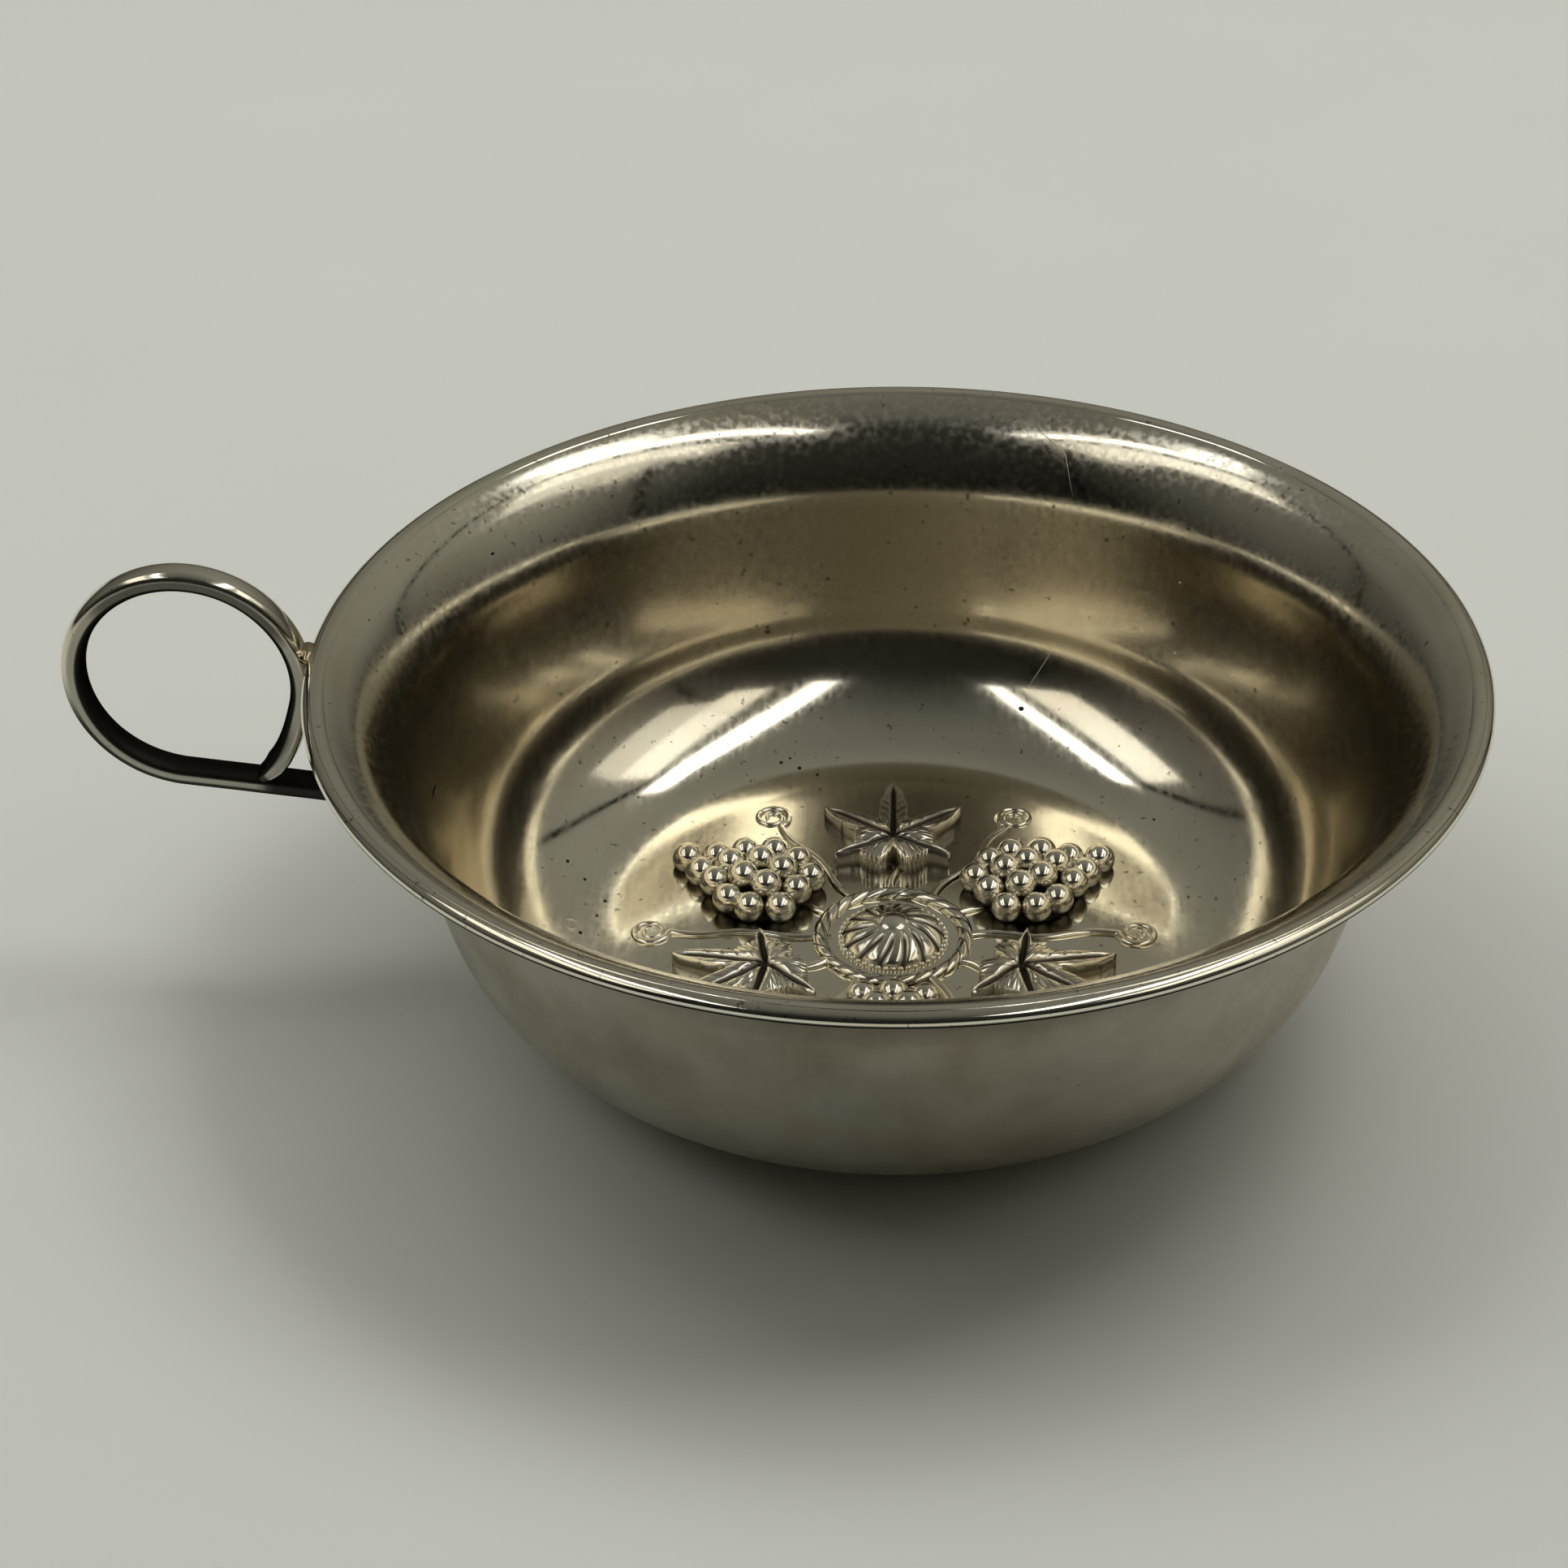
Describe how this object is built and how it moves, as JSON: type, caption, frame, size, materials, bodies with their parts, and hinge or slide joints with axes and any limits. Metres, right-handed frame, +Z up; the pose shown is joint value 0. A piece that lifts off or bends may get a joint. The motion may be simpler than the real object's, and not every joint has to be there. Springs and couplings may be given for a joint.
{
  "type": "tastevin",
  "caption": "Shallow round silver wine-tasting cup with a flared lip, a strap finger ring at the rim and a vine relief on its floor.",
  "frame": {"origin": "centre of the flat base, on the surface that the cup stands on", "axes": "+Z up along the bowl's axis, -X towards the finger ring, Y across the strap"},
  "size_m": [0.1277, 0.105, 0.0417],
  "materials": {
    "silver_sheet": "polished silver inside, satin outside, with fine wear and light tarnish",
    "silver_strap": "polished silver strap with soft edges",
    "silver_solder": "dull grey-brown silver solder",
    "silver_ornament": "polished cast silver with oxidised grooves"
  },
  "bodies": {
    "root": {"bowl": "silver_sheet", "rim_wire": "silver_sheet", "handle_strap": "silver_strap", "rim_solder": "silver_solder", "wall_solder": "silver_solder", "centre_boss": "silver_ornament", "vine_stem": "silver_ornament", "vine_leaves": "silver_ornament", "grape_bunches": "silver_ornament"}
  },
  "joints": []
}
